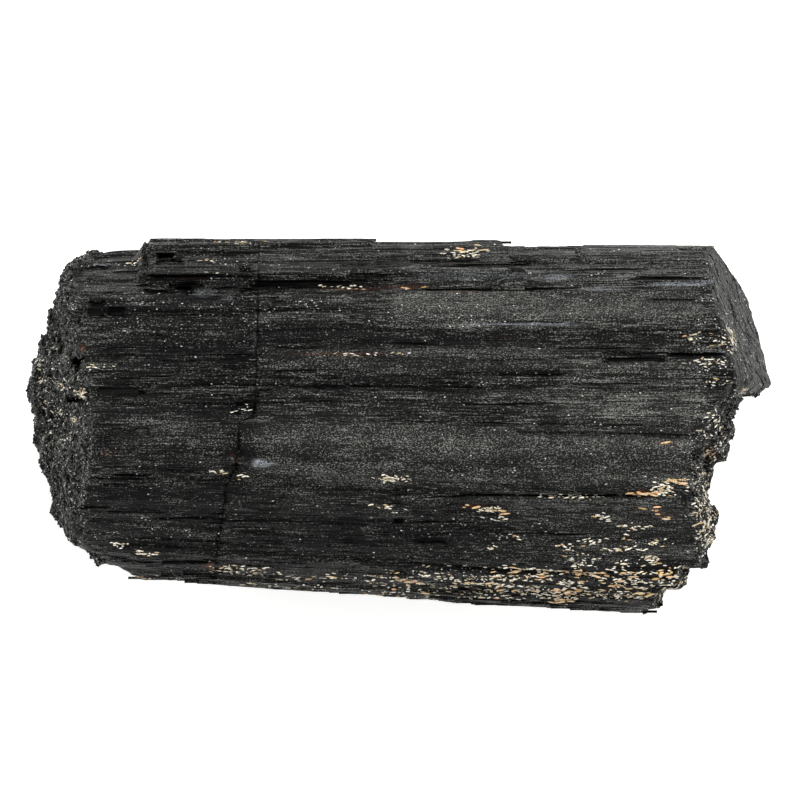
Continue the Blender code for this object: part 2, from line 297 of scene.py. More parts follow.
def needles(y, z, width, seed):
    """The column and row numbers of the needle nearest to each point of the cross-section."""
    u, v = y / width, z / width
    column, row = np.floor(u), np.floor(v)
    nearest = np.full(y.shape, np.inf)
    found = (column, row)
    for step_u in (-1, 0, 1):
        for step_v in (-1, 0, 1):
            c, r = column + step_u, row + step_v
            away = (u - c - chance(c, r, seed)) ** 2 + (v - r - chance(c, r, seed + 1)) ** 2
            closer = away < nearest
            nearest = np.where(closer, away, nearest)
            found = (np.where(closer, c, found[0]), np.where(closer, r, found[1]))
    return found


def stretches(x, needle, length, seed):
    """A height from -1 to 1 along each needle. Some stretches end in a step and others in a slope."""
    place = x / (length * (0.5 + chance(*needle, seed))) + 7.0 * chance(*needle, seed + 1)
    stretch = np.floor(place)
    here, following = chance(*needle, stretch, seed + 2), chance(*needle, stretch + 1, seed + 2)
    begins = np.where(chance(*needle, stretch, seed + 3) < STEP_SHARE, STEP_FROM, SLOPE_FROM)
    return 2.0 * (here + (following - here) * rise(place - stretch, begins, 1.0)) - 1.0


print(f"{STEP_SHARE:.0%} of the stretches end in a step")

# %% [markdown]
# ## Soft noise and crusts
#
# Soft noise swells and sinks gently, for whatever fades in and out. A crust of rounded crystals is nearer to
# a heap of pebbles, so it is built like the needles, from the nearest of many scattered middles, but in
# three directions.

# %% Soft noise and crusts
def soft_noise(points, size, seed):
    """Noise from -1 to 1 whose swellings are about this many millimetres across."""
    scaled = points / np.asarray(size, dtype=float)
    corner = np.floor(scaled)
    part = scaled - corner
    part = part * part * (3.0 - 2.0 * part)
    total = np.zeros(len(points))
    for step in np.ndindex(2, 2, 2):
        weight = np.prod(np.where(step, part, 1.0 - part), axis=1)
        at = corner + step
        total += weight * chance(at[:, 0], at[:, 1], at[:, 2], seed)
    return 2.0 * total - 1.0


def chunks(points, size, seed):
    """A height from -1 to 1 for a crust of rounded crystals about this many millimetres across."""
    scaled = points / np.asarray(size, dtype=float)
    corner = np.floor(scaled)
    nearest = np.full(len(points), np.inf)
    height = np.zeros(len(points))
    for step in np.ndindex(3, 3, 3):
        at = corner + step - 1
        cell = (at[:, 0], at[:, 1], at[:, 2])
        middle = at + np.stack([chance(*cell, seed + axis) for axis in range(3)], axis=1)
        away = np.sum((scaled - middle) ** 2, axis=1)
        closer = away < nearest
        nearest = np.where(closer, away, nearest)
        height = np.where(closer, chance(*cell, seed + 3), height)
    return 2.0 * height - 1.0 - nearest


print("soft noise at three places:", soft_noise(np.eye(3), 0.7, seed=1).round(2))

# %% [markdown]
# ## Where the surface changes
#
# The relief isn't the same all over. The prism's flanks are striped, the left end is granular, the broken
# corners are splintered, and the big pyramid face on the right is nearly smooth. Painting these areas by
# hand would be slow to repeat. The direction that each point faces, and its place, tell them apart. Each
# is a mask from 0 to 1.

# %% Masks over the surface
# Normals are softened first, so that a mask follows the form and not the smallest bumps.
NORMAL_ROUNDS = 12
points = coordinates(crystal.data)
normals = unit(softened(crystal.data, vertex_normals(crystal.data), NORMAL_ROUNDS))
radial = unit(normals * (0.0, 1.0, 1.0))
pixels = pixels_of(points)
along, upward = points[:, 0], points[:, 2]

# Below this line of the cross-section the needles fan out a little towards the right end.
FAN_FROM_Y = 1.0
FAN = 0.13
fan = 1.0 - FAN * (along - LOW[0]) / LENGTH * (points[:, 1] < FAN_FROM_Y)
across = FAN_FROM_Y + (points[:, 1] - FAN_FROM_Y) * fan

LEFT_END_DEPTH, RIGHT_END_DEPTH = 18.0, 27.0
END_FADE = 3.0
FACET_EDGE_Y = 6.5
facing_end = rise(np.abs(normals[:, 0]), 0.35, 0.75)
left_end = facing_end * rise(along, LOW[0] + LEFT_END_DEPTH + END_FADE, LOW[0] + LEFT_END_DEPTH)
right_end = facing_end * rise(along, HIGH[0] - RIGHT_END_DEPTH - END_FADE, HIGH[0] - RIGHT_END_DEPTH)
facet = right_end * (points[:, 1] > FACET_EDGE_Y)
broken = right_end * (points[:, 1] <= FACET_EDGE_Y)
flank = 1.0 - facing_end
off_the_table = rise(upward, 0.8, 2.0)
from_above = rise(normals[:, 2], -0.05, 0.2)
print(f"flank {flank.mean():.0%}, left end {left_end.mean():.0%}, broken {broken.mean():.0%} of the mesh")

# %% [markdown]
# ## The crack
#
# A crack crosses the crystal near its left end, and left of it the ribs stand rougher. It is a line of
# places in the view from above: pixels across and down.

# %% The crack's course
CRACK = (
    (257, 238), (258, 290), (257, 385), (255, 416), (241, 421), (239, 440), (237, 468), (226, 484),
    (225, 500), (221, 522), (217, 548), (210, 592),
)
CRACK_EDGE = 0.8
crack_across = np.interp(pixels[:, 1], [down for _, down in CRACK], [right for right, _ in CRACK])
left_of_crack = rise(pixels[:, 0], crack_across + CRACK_EDGE, crack_across - CRACK_EDGE)
print(f"{left_of_crack.mean():.0%} of the mesh is left of the crack")

# %% [markdown]
# ## Bands
#
# A few broad laths kept their smooth growth faces, and show as plain bands between rougher ones. Others are
# rough. They are listed by where they show from above, in pixels, and a later band is laid over an earlier
# one. Calm takes the relief away. Tone paints light and shade into the colour: above 0 is a painted sheen,
# where a band faces the light, and below 0 a painted shade, as in the thin dark bands under ledges.

# %% Bands
BANDS = (
    # left, right, top, bottom, calm, tone
    (392, 702, 291, 320, 0.8, 0.6),
    (262, 560, 346, 374, 0.5, 0.1),
    (245, 704, 424, 486, 0.8, 0.4),
    (155, 257, 262, 276, 0.3, 0.0),
    (112, 255, 318, 345, 0.4, -0.7),
    (258, 560, 324, 346, 0.4, -0.5),
    (262, 600, 376, 396, 0.2, -0.5),
    (96, 256, 300, 472, 0.0, -0.55),
    (118, 236, 420, 466, 0.4, 0.1),
    (100, 700, 490, 575, 0.2, -0.6),
    (258, 376, 279, 290, 0.0, -0.8),
    (560, 705, 362, 420, 0.0, 0.5),
    (560, 690, 332, 347, 0.0, -0.35),
    (430, 612, 350, 366, 0.0, 0.3),
    (612, 722, 353, 360, 0.0, -0.8),
    (150, 400, 238, 278, 0.0, -0.25),
    (400, 560, 238, 284, 0.0, 0.1),
    (560, 718, 238, 290, 0.0, 0.4),
    (80, 240, 476, 575, 0.0, -0.6),
    (255, 345, 298, 312, 0.0, -0.6),
    (430, 700, 318, 330, 0.0, 0.3),
    (455, 560, 367, 400, 0.0, -0.2),
    (150, 256, 274, 300, 0.0, -0.9),
    (92, 126, 300, 316, 0.0, -0.9),
    (395, 440, 516, 527, 0.0, -0.8),
    (240, 700, 489, 494, 0.0, -0.35),
    (515, 708, 497, 562, 0.1, 0.15),
    (440, 680, 566, 604, 0.0, -1.0),
)
SOFT_EDGE = 4.0


def band(left, right, top, bottom):
    """1 inside a rectangle of the frame, fading to 0 over a soft edge."""
    x, y = pixels[:, 0], pixels[:, 1]
    inside = rise(x, left - SOFT_EDGE, left + SOFT_EDGE) * rise(x, right + SOFT_EDGE, right - SOFT_EDGE)
    inside = inside * rise(y, top - SOFT_EDGE, top + SOFT_EDGE)
    return inside * rise(y, bottom + SOFT_EDGE, bottom - SOFT_EDGE)


calm = np.zeros(len(points))
tone_with_painted_light = np.zeros(len(points))
for left, right, top, bottom, calmness, painted_lightness in BANDS:
    inside = band(left, right, top, bottom) * from_above
    calm = np.maximum(calm, calmness * inside)
    tone_with_painted_light += (painted_lightness - tone_with_painted_light) * inside
print(f"{len(BANDS)} bands")

# %% [markdown]
# ## Hollows and ridges
#
# Where a bundle of needles has snapped out, it leaves a long hollow with square ends, and light hardly
# reaches its floor. Cutting them with boolean solids would leave thin slivers of mesh. Here each one is a
# soft-edged rectangle of the view from above, pushed in or out along the line of sight, and the crack is
# pushed in the same way. A mask of the deep places keeps loose blades out of them and darkens them later.

# %% Where the hollows and ridges are
DENTS = (
    # across, down, half width, half height in pixels, and depth in mm, below 0 where it stands up
    (79, 368, 5, 10, 5.0), (76, 400, 10, 3, 4.0), (96, 309, 8, 8, 1.0), (116, 312, 9, 4, 1.1),
    (170, 259, 12, 5, 3.0), (169, 290, 21, 2.2, 1.1), (181, 277, 34, 1.5, 0.9), (236, 288, 20, 1.6, 1.0),
    (118, 392, 22, 4, 0.8), (156, 390, 14, 3, 0.5), (127, 434, 22, 5, 0.6), (131, 475, 19, 1.2, 0.7),
    (115, 483, 14, 4, 0.5), (168, 560, 42, 2, 0.8), (90, 508, 16, 1.2, 0.6), (132, 512, 28, 1.2, 0.5),
    (190, 519, 34, 1.2, 0.6), (255, 521, 36, 1.0, 0.5), (399, 521, 5, 2, 0.8), (430, 521, 8, 2, 0.6),
    (430, 540, 16, 3, 0.7), (243, 404, 8, 5, 0.5), (497, 362, 6, 3, 0.4), (592, 398, 12, 3, 0.4),
    (636, 360, 32, 2, 0.8), (696, 355, 28, 2, 0.9), (672, 278, 38, 1.5, 0.8), (620, 270, 28, 1.2, 0.6),
    (160, 337, 9, 2, 0.4), (106, 400, 14, 3, 0.5), (728, 345, 6, 3, 0.5), (189, 293, 3, 5, 0.9),
    (173, 353, 80, 0.9, -0.35), (205, 358, 48, 0.8, -0.25), (150, 346, 50, 0.8, -0.2),
    (222, 421, 28, 0.8, -0.3), (132, 265, 16, 1.6, -0.5), (95, 257, 20, 1.0, -0.4),
    (204, 292, 11, 4.5, -0.5), (227, 297, 9, 4, -0.4), (127, 285, 20, 1.6, 0.7), (126, 270, 21, 1.2, 0.6),
    (97, 260, 9, 1.2, 0.6), (100, 294, 12, 2, 0.6), (300, 284, 44, 3, 0.8), (370, 277, 18, 4, 0.6),
    (488, 289, 72, 1.4, 0.9), (448, 261, 32, 1.2, 0.6), (492, 266, 40, 1.3, 0.7), (500, 404, 42, 1.4, 0.8),
    (530, 375, 32, 1.1, 0.6), (296, 371, 22, 1.3, 0.6), (345, 348, 66, 1.0, 0.5), (600, 271, 38, 1.2, 0.5),
    (675, 300, 20, 1.1, 0.5), (605, 349, 46, 1.1, 0.6), (600, 385, 34, 1.1, 0.6), (540, 495, 90, 1.3, 0.9),
    (547, 534, 46, 1.0, 0.5),
)
CRACK_DEPTHS = (
    # pixels down, and depth in mm
    (238, 0.1), (300, 0.1), (385, 0.2), (394, 0.9), (416, 0.9), (421, 0.5), (466, 0.6), (490, 0.55),
    (548, 0.6), (566, 0.3), (592, 0.1),
)
print(f"{len(DENTS)} hollows and ridges, and a crack up to {max(depth for _, depth in CRACK_DEPTHS)} mm deep")

# %% How deep each point goes
CRACK_INNER, CRACK_OUTER = 0.5, 1.7
to_crack = np.abs(pixels[:, 0] - crack_across + 1.5 * soft_noise(points, (50.0, 1.5, 1.5), seed=5))
dented = np.interp(pixels[:, 1], [down for down, _ in CRACK_DEPTHS], [depth for _, depth in CRACK_DEPTHS])
dented *= rise(to_crack, CRACK_OUTER, CRACK_INNER) * from_above

ragged_edge = 0.3 * soft_noise(points, (1.6, 0.6, 0.6), seed=6)
for right, down, half_width, half_height, depth in DENTS:
    away = np.maximum(np.abs(pixels[:, 0] - right) / half_width, np.abs(pixels[:, 1] - down) / half_height)
    dented += depth * rise(away + ragged_edge, 1.15, 0.85) * from_above
hollow = rise(dented, 0.25, 0.9)
print(f"{(hollow > 0.5).mean():.1%} of the mesh is in a hollow")

# %% [markdown]
# ## Where things gather
#
# Dirt, rust and grains of other minerals sit where they grew or where they lodged: in a crust along the
# lower edge, in clusters, along ledges. A cluster is an ellipse in the view from above, with a strength
# from 0 to 1, or above 1 where it should stay strong towards its rim.

# %% Clusters of pale and stained grains
CREAM = (
    # across, down, half width and half height in pixels, and strength, here and in the lists after it
    (393, 478, 12, 4, 1.0), (391, 507, 8, 6, 0.35), (490, 509, 12, 3.5, 0.8), (498, 519, 6, 3, 0.7),
    (542, 496, 4, 2, 1.0), (580, 496, 30, 3, 0.3), (662, 489, 8, 7, 0.9), (672, 480, 6, 4, 0.9),
    (606, 517, 6, 4, 0.6), (631, 527, 12, 2.5, 0.9), (592, 541, 12, 3, 0.6), (570, 546, 6, 4, 0.7),
    (627, 538, 8, 2, 0.8), (650, 542, 8, 4, 0.4), (625, 549, 18, 2, 0.6), (492, 547, 6, 3, 0.7),
    (515, 536, 8, 3, 0.4), (650, 560, 5, 5, 0.6), (581, 559, 14, 6, 0.35), (625, 561, 8, 3, 0.5),
    (198, 259, 5, 1, 0.9), (217, 262, 4, 1, 0.9), (207, 272, 3, 2, 1.0), (246, 241, 4, 2, 0.7),
    (134, 257, 7, 3, 0.8), (95, 487, 5, 2, 0.9), (117, 543, 8, 3, 0.5), (145, 552, 14, 2, 0.6),
    (240, 569, 34, 6, 0.2), (223, 472, 3, 2, 1.0), (243, 477, 3, 2, 0.8), (349, 287, 12, 3, 0.5),
    (372, 354, 42, 1.4, 0.3), (93, 367, 4, 2, 1.0), (80, 392, 5, 7, 1.0), (61, 386, 3, 4, 1.0),
    (53, 412, 3, 4, 1.0), (71, 421, 4, 5, 1.0), (38, 363, 3, 5, 0.8), (465, 254, 12, 6, 0.5),
    (731, 459, 6, 3, 0.8), (700, 480, 14, 16, 0.25), (708, 515, 14, 45, 0.42), (716, 436, 14, 34, 0.13),
    (676, 580, 10, 18, 0.3), (240, 408, 9, 6, 0.12), (220, 472, 5, 3, 0.9), (56, 400, 26, 60, 0.05),
    (745, 392, 14, 4, 0.3), (700, 337, 16, 7, 0.28), (706, 363, 24, 4, 0.32), (722, 382, 18, 6, 0.2),
    (728, 340, 8, 14, 0.2),
)
STAINED = (
    (476, 505, 2.5, 4, 0.7), (507, 511, 3, 3, 0.5), (644, 492, 6, 4, 0.8), (664, 517, 6, 4, 0.8),
    (650, 509, 3, 3, 0.8), (709, 454, 9, 4, 0.5), (672, 481, 5, 4, 0.6), (606, 516, 5, 3, 0.5),
    (514, 573, 12, 2.5, 0.7), (541, 575, 10, 2.5, 0.7), (580, 573, 11, 3.5, 0.8), (609, 575, 9, 2, 0.7),
    (632, 572, 6, 2, 0.6), (664, 573, 13, 3, 0.8), (571, 592, 13, 3, 0.6), (612, 587, 8, 2, 0.5),
    (638, 594, 10, 2, 0.6), (560, 602, 9, 2.5, 0.8), (495, 584, 5, 2, 0.6), (667, 591, 2, 4, 0.6),
    (466, 250, 9, 5, 0.3), (664, 443, 6, 2, 0.2), (408, 286, 6, 2, 0.25), (512, 337, 3, 2, 0.45),
    (487, 337, 3, 2, 0.6), (412, 582, 14, 5, 0.3),
)
print(f"{len(CREAM)} cream and {len(STAINED)} stained clusters")

# %% Patches of rust, flecks and pale dust
RUST = (
    (349, 288, 30, 1.6, 0.5), (408, 286, 20, 1.4, 0.5), (340, 354, 60, 1.2, 0.4), (81, 348, 3, 4, 0.9),
    (212, 566, 3, 6, 0.7), (236, 461, 2, 6, 0.6), (107, 453, 3, 5, 0.5), (709, 454, 10, 3, 0.5),
    (664, 443, 10, 3, 0.4), (476, 505, 5, 5, 0.6), (644, 492, 8, 4, 0.5), (664, 517, 8, 4, 0.5),
    (190, 278, 8, 2, 0.4), (460, 290, 14, 1.4, 0.5), (512, 337, 5, 3, 0.5),
)
FLECKS = (
    (130, 266, 16, 3, 1.0), (109, 256, 14, 3, 1.0), (95, 275, 14, 8, 0.7), (89, 290, 10, 10, 0.5),
    (330, 304, 40, 9, 1.0), (272, 306, 20, 9, 0.7), (475, 322, 34, 8, 0.9), (530, 324, 62, 3, 1.6),
    (560, 276, 60, 9, 0.5), (470, 372, 10, 8, 0.7), (490, 380, 40, 10, 0.5), (706, 330, 18, 60, 0.8),
    (716, 372, 22, 20, 1.0), (738, 350, 12, 45, 0.4), (147, 305, 12, 3, 0.9), (450, 575, 60, 10, 1.0),
    (205, 455, 4, 3, 0.9), (600, 390, 100, 10, 0.5), (640, 440, 70, 40, 0.4), (700, 530, 20, 50, 1.0),
    (705, 440, 20, 50, 1.0), (250, 300, 8, 40, 0.6), (480, 402, 30, 3, 0.8), (600, 560, 80, 8, 0.6),
    (259, 463, 9, 4, 1.4), (240, 408, 9, 6, 1.2),
)
PALE_DUST = (
    (261, 464, 10, 5, 1.0), (676, 284, 36, 2, 0.7), (256, 268, 2, 8, 0.2), (256, 340, 2, 20, 0.12),
    (203, 293, 12, 5, 0.13), (229, 298, 6, 4, 0.13), (127, 264, 14, 1.3, 0.9), (102, 256, 16, 1.2, 0.7),
    (606, 288, 22, 2, 0.4), (724, 354, 5, 3, 0.7), (556, 277, 12, 3, 0.5), (704, 281, 12, 3, 0.5),
    (522, 324, 64, 1.8, 0.5), (470, 276, 60, 4, 0.16),
)


def clusters(ellipses):
    """The greatest strength of the ellipses at each point."""
    found = np.zeros(len(points))
    for right, down, half_width, half_height, strength in ellipses:
        away = ((pixels[:, 0] - right) / half_width) ** 2 + ((pixels[:, 1] - down) / half_height) ** 2
        found = np.maximum(found, strength * rise(away, 1.1, 0.4))
    return found * from_above


flecked = clusters(FLECKS)
print(f"{len(RUST)} rusty, {len(FLECKS)} flecked and {len(PALE_DUST)} dusty patches")

# %% [markdown]
# ## The crust along the lower edge
#
# Feldspar grew over the lower edge of the crystal in a band of grains with ragged ends. Seen from above it
# is denser to the right. Out of that view the flanks have thinner patches of the same, chosen by noise, so
# that the crystal looks grown together with other minerals from every side.

# %% The crust and its hidden patches
CRUST_MIDDLE, CRUST_TILT, TILT_FROM = 582.0, 0.004, 450.0
CRUST_SHARE = 0.34


def crust_band():
    """1 in the middle of the crust, seen from above, and 0 outside its ragged edges."""
    x, y = pixels[:, 0], pixels[:, 1]
    middle = CRUST_MIDDLE + CRUST_TILT * (x - TILT_FROM)
    half = 9.0 + 8.0 * rise(x, 300, 480)
    ragged = 5.0 * soft_noise(points, (5.0, 3.0, 3.0), seed=71)
    inside = rise(np.abs(y - middle) + ragged, half + 3.0, half - 3.0)
    faded = 0.12 + 0.28 * rise(x, 240, 420) + 0.6 * rise(x, 460, 520)
    return inside * faded * rise(x, 690, 672) * rise(x, 225, 250)


crust = CRUST_SHARE * crust_band()
patchy = rise(soft_noise(points, (5.0, 0.9, 0.9), seed=72), -0.45, 0.3)
low_flank = flank * off_the_table * rise(upward, 34.0, 24.0)
hidden_crust = low_flank * rise(soft_noise(points, (30.0, 12.0, 12.0), seed=73), 0.05, 0.5)
hidden_crust = hidden_crust * rise(normals[:, 2], 0.25, 0.0)
print(f"crust on {(crust > 0.1).mean():.1%}, hidden patches on {(hidden_crust > 0.1).mean():.1%} of the mesh")

# %% [markdown]
# ## Attributes for the materials and the scattering
#
# A mask that lives only in this script is lost once the mesh changes. Stored on the mesh as an attribute, it
# survives the thinning further on, and both a shader and a Geometry Nodes tree can read it by its name.

# %% Attributes for grains and dirt
def store(name, values):
    """Keeps one share from 0 to 1 for each vertex under this name."""
    attribute = crystal.data.attributes.new(name, "FLOAT", "POINT")
    attribute.data.foreach_set("value", np.clip(values, 0.0, 1.0).astype(np.float32))


def store_direction(name, vectors):
    """Keeps one direction for each vertex under this name."""
    attribute = crystal.data.attributes.new(name, "FLOAT_VECTOR", "POINT")
    attribute.data.foreach_set("vector", vectors.astype(np.float32).ravel())


store("cream", np.maximum(clusters(CREAM), patchy * np.maximum(crust, 0.3 * hidden_crust)) * off_the_table)
store("stained",
      np.maximum(clusters(STAINED), patchy * np.maximum(0.12 * crust, 0.1 * hidden_crust)) * off_the_table)
store("rust", np.maximum(clusters(RUST), 0.22 * patchy * hidden_crust))
store("pale_dust", np.maximum(clusters(PALE_DUST), 0.15 * patchy * hidden_crust))

speckled = 0.02 + 0.85 * left_end + 0.9 * broken + 0.1 * facet
speckled += 0.2 * rise(soft_noise(points, (16.0, 3.0, 3.0), seed=74), 0.3, 0.7)
glittering = flecked * rise(soft_noise(points, (3.0, 1.2, 1.2), seed=75), -0.3, 0.4)
store("flakes", np.maximum(speckled, glittering) * off_the_table * (1.0 - 0.8 * hollow))
print("grains and dirt:", ", ".join(("cream", "stained", "rust", "pale_dust", "flakes")))

# %% Attributes for the crystal's own surface
# Fine laths keep clear of the two ends, of the far rim and of the hollows.
END_MARGIN = 24.0
RIM_FROM, RIM_TO = 250.0, 256.0
away_from_ends = rise(along, LOW[0] + END_MARGIN, LOW[0] + 1.5 * END_MARGIN)
away_from_ends *= rise(along, HIGH[0] - END_MARGIN, HIGH[0] - 1.5 * END_MARGIN)
below_rim = rise(pixels[:, 1], RIM_FROM, RIM_TO) + (1.0 - from_above)
open_face = (1.0 - hollow) * off_the_table
store("striped", flank * open_face * away_from_ends * (1.0 - calm) * below_rim)
store("ribbed", flank * (1.0 - 0.8 * calm))
store("granular", left_end * open_face)
store("splintered", broken * open_face)
store("hollow", hollow)
store("crusty", left_end + broken + 0.5 * facet)
# Lightness holds the bands' painted light and shade on the flanks, and is raised on the two ends.
store("painted_lightness", 0.5 + 0.5 * tone_with_painted_light * flank + 0.4 * (left_end + broken))
store_direction("outward", normals)
store_direction("radial", radial)
print(f"{len(crystal.data.attributes)} attributes on the mesh")

# %% [markdown]
# ## Wearing the ends round
#
# The solid has its ends in plain steps. On the real crystal those edges are chipped and weathered. A bevel
# would need clean edges, which a remeshed surface doesn't have, so the vertices are drawn towards their
# neighbours instead: a little on the flanks, more on the ends, and most on the two broken left corners.

# %% Wear
FLANK_WEAR, LEFT_WEAR, END_WEAR, CORNER_WEAR = 4, 12, 30, 70
BASE_CLEAR = 1.0
standing = rise(upward, 0.0, BASE_CLEAR)
at_corner = rise(along, LOW[0] + 26.0, LOW[0] + 18.0)
at_corner *= np.maximum(rise(pixels[:, 1], 505, 525), rise(pixels[:, 1], 300, 275))

worn = softened(crystal.data, points, FLANK_WEAR)
worn = softened(crystal.data, worn, LEFT_WEAR, left_end)
worn = softened(crystal.data, worn, END_WEAR, right_end)
worn = softened(crystal.data, worn, CORNER_WEAR, at_corner)
print(f"wear moves a point by {np.linalg.norm(worn - points, axis=1).max():.1f} mm at most")

# %% [markdown]
# ## Ribs on the flanks
#
# Four sizes of needle, from broad laths to fine ribs, are added up and push the flanks in or out. Patches
# of soft noise make the ribs stand out in one place and fade in another. Left of the crack they are
# rougher, and the whole flank lies a little lower.

# %% Relief on the flanks
NEEDLE_LAYERS = (
    # needle width, stretch length and height
    (6.5, 90.0, 0.24),
    (2.8, 46.0, 0.16),
    (1.3, 24.0, 0.10),
    (0.65, 14.0, 0.05),
)
UNDULATION, GRAIN = 0.22, 0.05
LEFT_PART_DROP = 0.16
# A slab has split off at the top left corner, and left the surface this much lower.
TOP_LEFT_DROP = 1.3

patches = 1.0 + 0.7 * soft_noise(points, (26.0, 5.0, 5.0), seed=41)
rough = (1.0 + 0.6 * left_of_crack) * patches * (1.0 - calm)
rough = rough + flecked
relief = UNDULATION * soft_noise(points, (24.0, 5.0, 5.0), seed=3) - LEFT_PART_DROP * left_of_crack
relief += GRAIN * (1.0 + 2.0 * flecked) * soft_noise(points, (1.4, 0.6, 0.6), seed=43)
relief += 0.5 * GRAIN * rough * soft_noise(points, (3.0, 1.0, 1.0), seed=44)
for index, (width, length, height) in enumerate(NEEDLE_LAYERS):
    seed = 11 + 10 * index
    bent = 0.3 * width * soft_noise(points, (34.0, 6.0, 6.0), seed + 7)
    needle = needles(across + bent, upward, width, seed)
    relief += height * stretches(along, needle, length, seed) * rough

top_left = rise(pixels[:, 0], 150, 147) * rise(normals[:, 1], 0.0, 0.3) * rise(pixels[:, 1], 290, 262)
relief -= TOP_LEFT_DROP * top_left
print(f"relief from {relief.min():.2f} to {relief.max():.2f} mm")

# %% [markdown]
# ## A crust on the ends
#
# On the ends, three sizes of small crystals make a crust: high on the broken corners, lower on the left
# end, and barely raised on the pyramid face, which has faint ribs of its own instead.

# %% Relief on the ends
CRUST_LAYERS = (
    # crystal size, and its height on the left end, the broken corners and the pyramid face
    (5.0, 0.40, 0.55, 0.22),
    (2.2, 0.28, 0.36, 0.12),
    (1.1, 0.17, 0.20, 0.10),
)
FACET_RIBS = 0.07
FACET_RIB_TURN = np.array([[0.40, -0.92, 0.0], [0.92, 0.40, 0.0], [0.0, 0.0, 1.0]])

ends = np.flatnonzero(facing_end > 0.01)
crusted = np.zeros(len(points))
for index, (size, on_left, on_broken, on_facet) in enumerate(CRUST_LAYERS):
    height = on_left * left_end[ends] + on_broken * broken[ends] + on_facet * facet[ends]
    crusted[ends] += height * (0.4 + chunks(points[ends], (1.3 * size, size, size), 61 + 7 * index))
crusted += FACET_RIBS * facet * soft_noise(points @ FACET_RIB_TURN.T, (18.0, 1.2, 3.0), seed=81)
print(f"crust from {crusted.min():.2f} to {crusted.max():.2f} mm")

# %% [markdown]
# ## Moving the surface
#
# Ribs are pushed out from the crystal's long axis, the crust along the surface's own direction, and hollows
# straight down. The ends aren't flat either: at some heights of the view they lie further in, as a table of
# places along the outline says. Near the table nothing moves up or down, so the crystal stays standing.

# %% Drawn-in ends, and the move itself
DRAWN_IN = (
    # pixels down, and how far in the left and the right end lie there, in mm
    (300, 0.2, 0.0), (345, 1.3, 0.0), (358, 0.5, 0.0), (385, 0.4, 0.2), (395, 0.6, 1.8), (405, 1.1, 2.6),
    (415, 1.9, 3.2), (423, 2.3, 1.0), (432, 1.8, 0.0), (442, 0.8, 0.0), (465, 0.8, 0.2), (478, 1.6, 0.6),
    (488, 1.6, 0.8), (500, 1.4, 0.0), (515, 0.7, 0.0), (530, 2.0, 0.0), (545, 2.4, 0.0), (565, 3.0, 0.0),
)
shift = radial * (relief * flank)[:, None] + normals * crusted[:, None]
shift[:, 2] -= dented
rows, on_left, on_right = zip(*DRAWN_IN)
shift[:, 0] += np.interp(pixels[:, 1], rows, on_left) * rise(along, LOW[0] + 16.0, LOW[0] + 6.0)
shift[:, 0] -= np.interp(pixels[:, 1], rows, on_right) * rise(along, HIGH[0] - 14.0, HIGH[0] - 5.0)
moved = worn + shift - points
moved[:, 2] *= standing
move_to(crystal.data, np.clip(points + moved, LOW, HIGH))
print(f"the surface moves by {np.linalg.norm(moved, axis=1).max():.1f} mm at most")

# %% [markdown]
# ## Thinning the mesh
#
# The even grid has far more faces than the smooth laths need. Collapsing edges where the surface is flat
# keeps the ribs and the crust sharp, where a coarser remesh would blur everything alike.

# %% Thin the mesh out where it is flat
MOST_TRIANGLES = 190000
thin = crystal.modifiers.new("thin", "DECIMATE")
thin.ratio = MOST_TRIANGLES / (2 * len(crystal.data.polygons))
thin.use_collapse_triangulate = True
keep_result(crystal)
mended = crystal.data.validate()
print(f"crystal: {len(crystal.data.polygons)} triangles, mended: {mended}")

# %% [markdown]
# ## The crack's line in the material
#
# The groove of the crack is as narrow as a cell of the mesh, so a fine black line of painted shade in the
# material sharpens it. The line follows the same places as the groove. A curve node holds them: it takes how
# far across the crystal a point is, and gives how far along the crack lies there.

# %% The crack as a line
CRACK_WIDTH = 0.45
CRACK_WANDER = 1.6
# The height over the table at which a pixel of the crack is turned into a place on the crystal.
CRACK_UP = 50.0


def per_metre(size):
    """A noise scale for features of this many millimetres."""
    return 1.0 / (size * MM)


def crack_middle(tree, across_metres):
    """Where along the crystal the crack lies, for each place across it."""
    share = add(tree, "ShaderNodeMapRange", {
        "Value": across_metres, "From Min": LOW[1] * MM, "From Max": HIGH[1] * MM})["Result"]
    line = add(tree, "ShaderNodeFloatCurve", {"Value": share})["Value"]
    curve = line.node.mapping.curves[0]
    depth = CAMERA_HEIGHT - CRACK_UP
    spots = [((right - FRAME_PIXELS / 2) * depth / pixels_per_slope + eye[0],
              (FRAME_PIXELS / 2 - lower) * depth / pixels_per_slope + eye[1]) for right, lower in CRACK]
    for index, (x, y) in enumerate(sorted(spots, key=lambda spot: spot[1])):
        spot = ((y - LOW[1]) / WIDTH, (x - LOW[0]) / LENGTH)
        point = curve.points[index] if index < 2 else curve.points.new(*spot)
        point.location = spot
        point.handle_type = "VECTOR"
    line.node.mapping.update()
    return add(tree, "ShaderNodeMapRange", {
        "Value": line, "To Min": LOW[0] * MM, "To Max": HIGH[0] * MM})["Result"]


print(f"the crack's line goes through {len(CRACK)} places")

